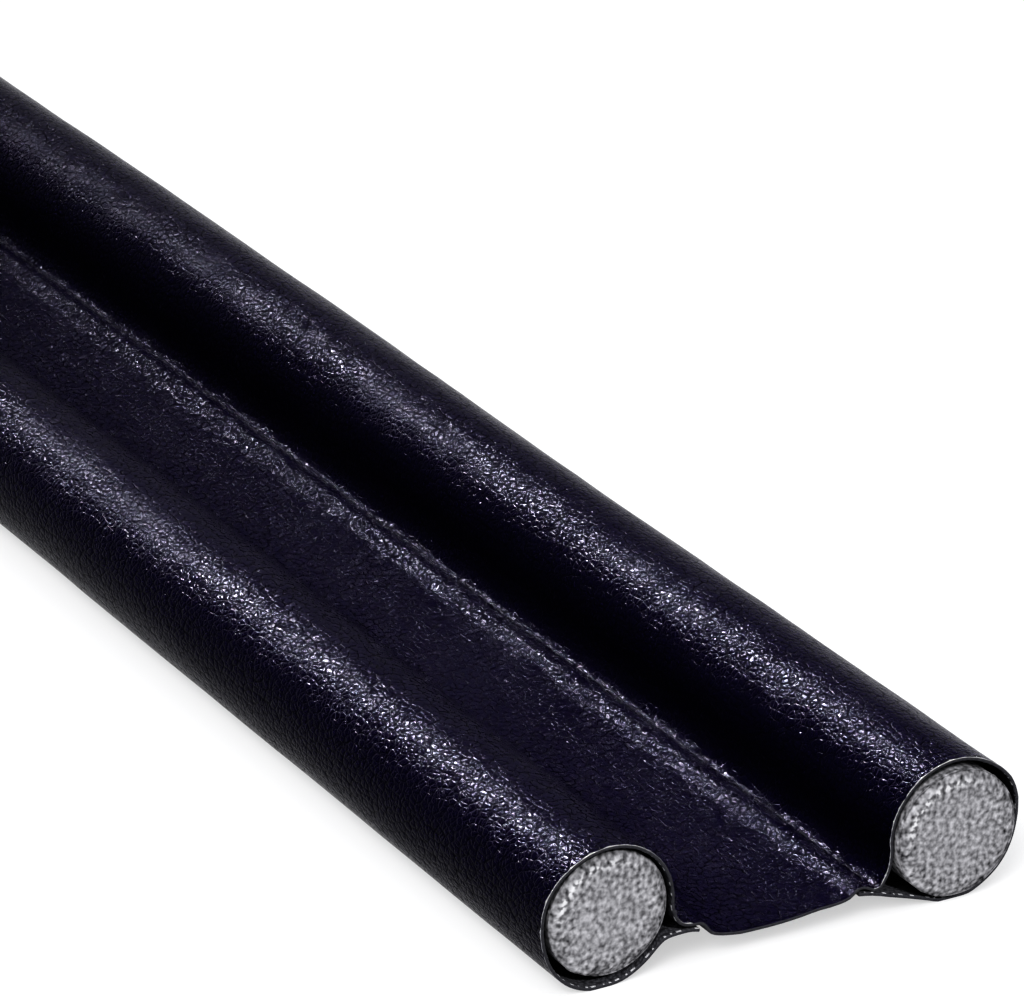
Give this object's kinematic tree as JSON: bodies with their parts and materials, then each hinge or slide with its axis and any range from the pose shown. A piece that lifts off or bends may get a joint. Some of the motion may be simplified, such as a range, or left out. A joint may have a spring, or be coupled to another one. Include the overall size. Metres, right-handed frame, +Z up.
{
  "type": "twin draught excluder",
  "caption": "Draught excluder for the foot of a door: foam rods in leatherette sleeves, joined by a thin web that passes under the leaf, with open cut ends.",
  "frame": {"origin": "middle of the length and width, on the floor that both sleeves rest on", "axes": "+X along the rods, +Y across from the front rod to the back rod, +Z up"},
  "size_m": [0.943, 0.1019, 0.0285],
  "materials": {
    "leatherette": "pebbled, satin",
    "foam": "open cut, granular"
  },
  "bodies": {
    "root": {"cover": "leatherette", "foam_front": "foam", "foam_back": "foam"}
  },
  "joints": []
}
